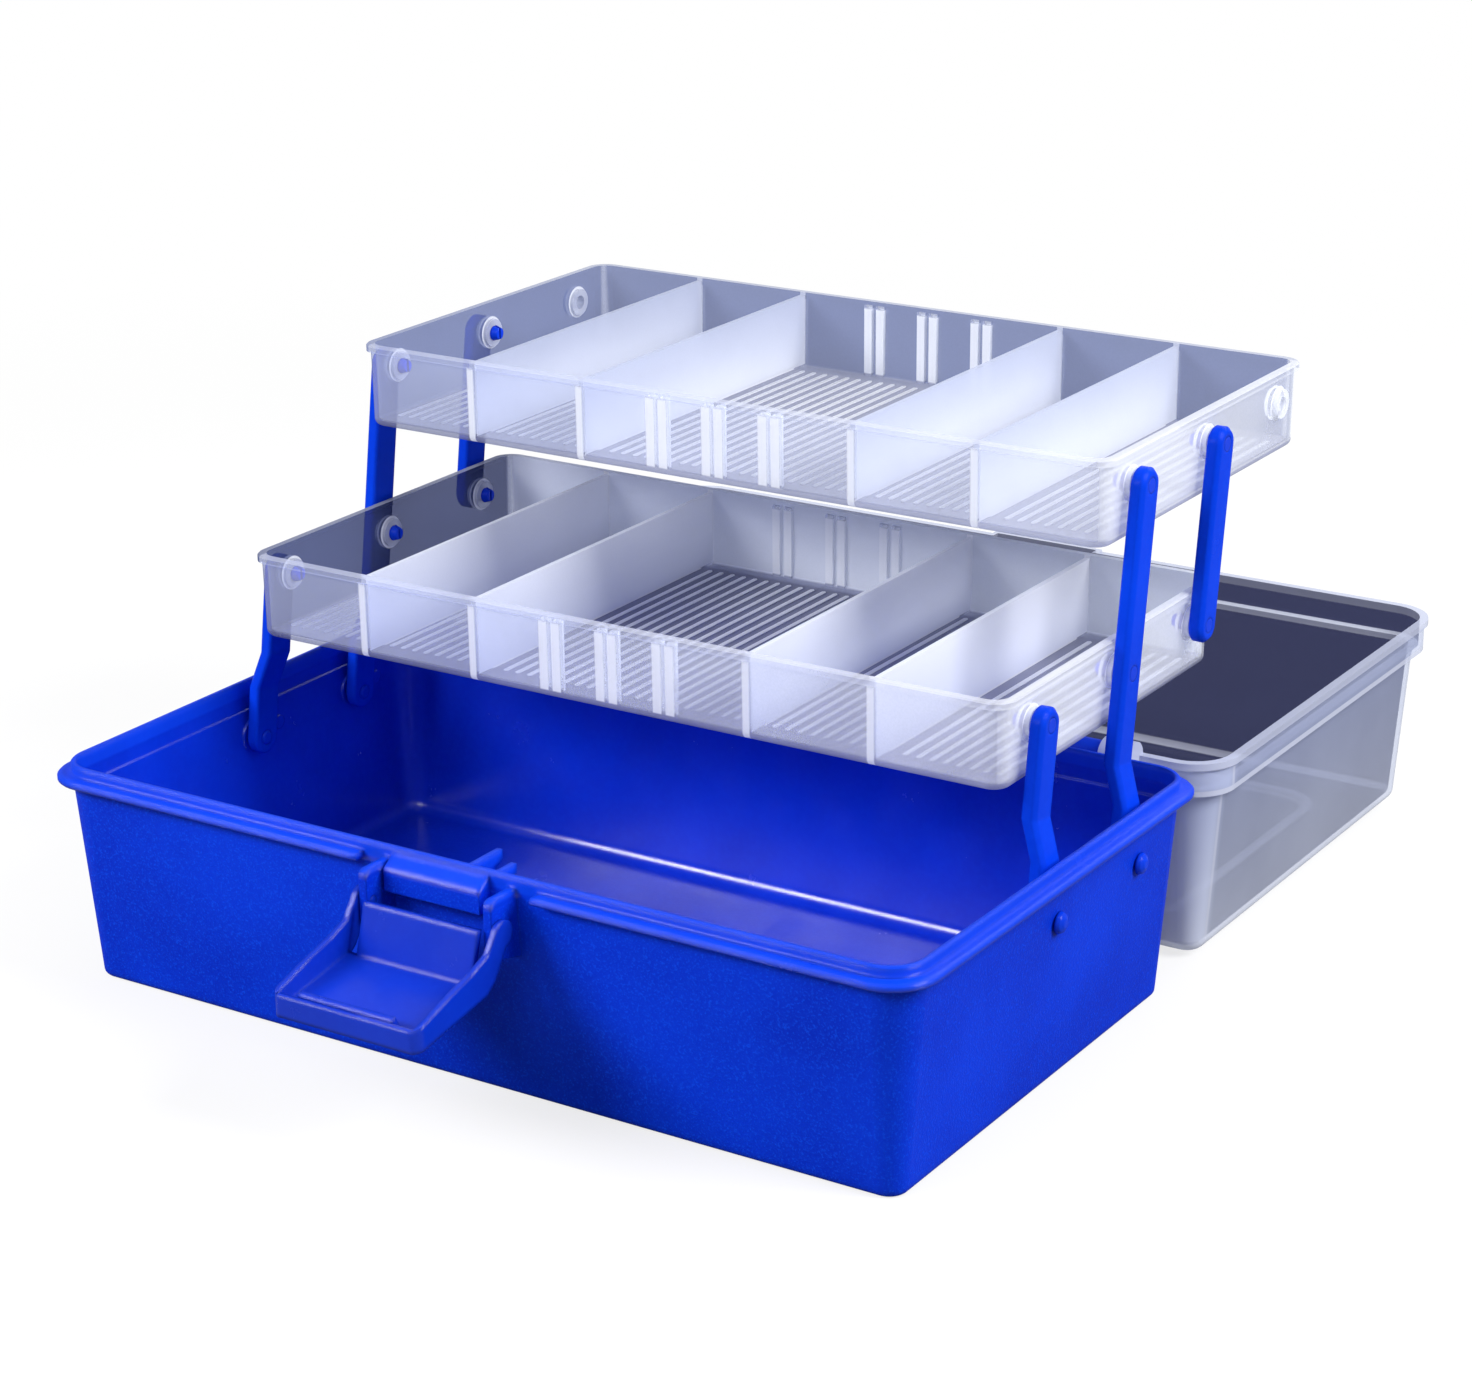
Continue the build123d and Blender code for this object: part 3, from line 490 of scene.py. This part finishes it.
def lid_plastic(name):
    """Clear smoky lid: a light haze on the outside, faces looking in painted dark as shade, painted
    highlights at rim and steps.
    """
    s = Shader(name)
    where = s.place()
    x, y, z = s.axes(where)
    y = s.math("SUBTRACT", y, LID_Y)
    inner = lid_inner_side(s, where, s.math("ABSOLUTE", x), y, s.math("ABSOLUTE", y), z)

    # Outside, hazier at the foot and on the hinge side
    rise = s.ramp(z, 0.0, 62 * MM, smooth=False)
    cover = s.math("ADD", s.blend(rise, 0.52, 0.45), s.ramp(y, -76 * MM, -84 * MM, 0.0, 0.32))
    cover = s.math("ADD", cover, s.ramp(s.noise(where, 14.0, 3.0), 0.3, 0.7, -0.04, 0.04))
    colour = s.mix(rise, rgba(0.78, 0.83, 1.0), rgba(0.60, 0.67, 0.94))

    # Inside: painted shade, dark colour and dark tint on faces looking in
    cover = s.blend(inner, cover, 0.28)
    colour = s.mix(inner, colour, rgba(0.016, 0.019, 0.058))
    tint = s.mix(inner, rgba(0.84, 0.88, 0.98), rgba(0.060, 0.067, 0.145))

    # Painted highlights: lighter and hazier along the plateau, step, rim, bends and seams
    lid_highlight = lid_painted_highlights(s, x, y, z, inner)
    cover = s.blend(lid_highlight, cover, 0.85)
    colour = s.mix(lid_highlight, colour, rgba(0.76, 0.79, 0.93))

    # Faces seen from within the wall stay almost clear
    leaving = s.add("ShaderNodeNewGeometry").outputs["Backfacing"]
    cover = s.blend(leaving, cover, 0.04, clamp=True)
    tint = s.mix(leaving, tint, rgba(0.97, 0.97, 0.98))

    gloss = s.ramp(s.noise(where, 75.0, 4.0, 0.6), 0.3, 0.7, 0.10, 0.18)
    normal = s.bump(s.noise(where, 300.0, 2.0), 0.03 * MM, 0.3)
    return lit_and_clear(s, cover, colour, tint, gloss, normal, 0.25, 0.5)


def natural_plastic(name):
    """Uncoloured plastic of the small hinge pins."""
    s = Shader(name)
    where = s.place()
    clouds = s.noise(where, 60.0, 4.0)
    colour = s.mix(clouds, rgba(0.62, 0.64, 0.72), rgba(0.80, 0.82, 0.88))
    gloss = s.ramp(clouds, 0.3, 0.7, 0.2, 0.35)
    normal = s.bump(s.noise(where, 500.0, 3.0), 0.04 * MM, 0.4)
    return lit_and_clear(s, 0.6, colour, rgba(0.85, 0.86, 0.9), gloss, normal, 0.3, 0.5)


def dress(node, material):
    """Gives a CAD node one material in all its slots."""
    obj = nodes[node]
    obj.data.materials.clear()
    obj.data.materials.append(material)


def dress_all():
    # Painted light on the arms and pins by a share of paler blue, painted shade on the latch by a share of
    # darker blue
    blue_arm = blue_plastic("blue_arm", 1.8 * MM, 0.04, BLUE_PALE, 0.25)
    blue_latch = blue_plastic("blue_latch", 2.2 * MM, 0.4, BLUE_PAINTED_SHADE, 0.45)
    blue_small = blue_plastic("blue_small", 1.0 * MM, 0.15, BLUE_PALE, 0.2)
    natural = natural_plastic("natural")
    for name in nodes:
        if name == "base_tub":
            dress(name, tub_plastic("blue_tub"))
        elif name == "lid":
            dress(name, lid_plastic("clear_lid"))
        elif name in TRAY_TONES:
            dress(name, tray_plastic(name + "_plastic", *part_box(name), *TRAY_TONES[name]))
        elif name.startswith("lid_hinge_pin"):
            dress(name, natural)
        elif name.endswith("_pin"):
            dress(name, blue_small)
        elif name.endswith("_arm"):
            dress(name, blue_arm)
        else:
            dress(name, blue_latch)


def add_to_scene(name, data):
    obj = bpy.data.objects.new(name, data)
    scene.collection.objects.link(obj)
    return obj


def area_lamp(name, place, target, size, watts):
    data = bpy.data.lights.new(name, "AREA")
    data.shape = "RECTANGLE"
    data.size, data.size_y = size
    data.energy = watts
    lamp = add_to_scene(name, data)
    lamp.location = place
    lamp.rotation_mode = "QUATERNION"
    lamp.rotation_quaternion = (Vector(target) - Vector(place)).to_track_quat("-Z", "Y")


def photo_camera():
    """Camera at the photograph's place, angle and focal length."""
    azimuth, elevation, roll = (math.radians(angle) for angle in (AZIMUTH, ELEVATION, ROLL))
    back = Vector((
        math.sin(azimuth) * math.cos(elevation),
        -math.cos(azimuth) * math.cos(elevation),
        math.sin(elevation),
    ))
    right = (-back).cross(Vector((0, 0, 1))).normalized()
    up = right.cross(-back)
    rolled_right = math.cos(roll) * right + math.sin(roll) * up
    rolled_up = math.cos(roll) * up - math.sin(roll) * right
    data = bpy.data.cameras.new("camera")
    data.sensor_width = SENSOR_WIDTH
    data.lens = FOCAL_LENGTH_PX / PHOTO_WIDTH_PX * SENSOR_WIDTH
    data.clip_start = 0.05
    data.clip_end = 60.0
    camera = add_to_scene("camera", data)
    turn = Matrix((rolled_right, rolled_up, back)).transposed().to_4x4()
    camera.matrix_world = Matrix.Translation(Vector(TARGET) + back * DISTANCE) @ turn
    scene.camera = camera


def floor_material():
    """Pale ground that keeps the shadow near the object and runs out into white."""
    s = Shader("floor")
    path = s.add("ShaderNodeLightPath")
    seen = s.any_of(path.outputs["Is Camera Ray"], path.outputs["Is Transmission Ray"])
    grey = s.mix(seen, rgba(0.18, 0.18, 0.18), rgba(0.90, 0.90, 0.90))
    matte = s.add("ShaderNodeBsdfDiffuse", {"Color": grey}).outputs[0]
    white = s.add("ShaderNodeEmission", {"Color": rgba(1, 1, 1), "Strength": 1.0}).outputs[0]
    x, y = s.axes(s.place())[:2]
    share = s.all_of(seen, s.ramp(s.length(x, y), 0.40, 1.1, 0.75, 1.0))
    return s.finish(s.join(share, matte, white))


def add_floor():
    corners = [(-FLOOR_REACH, -FLOOR_REACH, 0), (FLOOR_REACH, -FLOOR_REACH, 0)]
    corners += [(FLOOR_REACH, FLOOR_REACH, 0), (-FLOOR_REACH, FLOOR_REACH, 0)]
    mesh = bpy.data.meshes.new("floor")
    mesh.from_pydata(corners, [], [(0, 1, 2, 3)])
    mesh.materials.append(floor_material())
    floor = add_to_scene("floor", mesh)
    floor.location.z = -FLOOR_DROP


def add_world():
    """White to the camera and soft light to everything else."""
    world = bpy.data.worlds.new("world")
    world.use_nodes = True
    tree = world.node_tree
    back = tree.nodes["Background"]
    back.inputs["Color"].default_value = rgba(1, 1, 1)
    path = tree.nodes.new("ShaderNodeLightPath")
    pick = tree.nodes.new("ShaderNodeMapRange")
    pick.inputs["To Min"].default_value = ROOM_LIGHT
    pick.inputs["To Max"].default_value = 1.0
    tree.links.new(path.outputs["Is Camera Ray"], pick.inputs["Value"])
    tree.links.new(pick.outputs["Result"], back.inputs["Strength"])
    scene.world = world


dress_all()
add_floor()
add_world()
for lamp_settings in LAMPS:
    area_lamp(*lamp_settings)
photo_camera()
scene.view_settings.view_transform = "Standard"
scene.cycles.transparent_max_bounces = 64
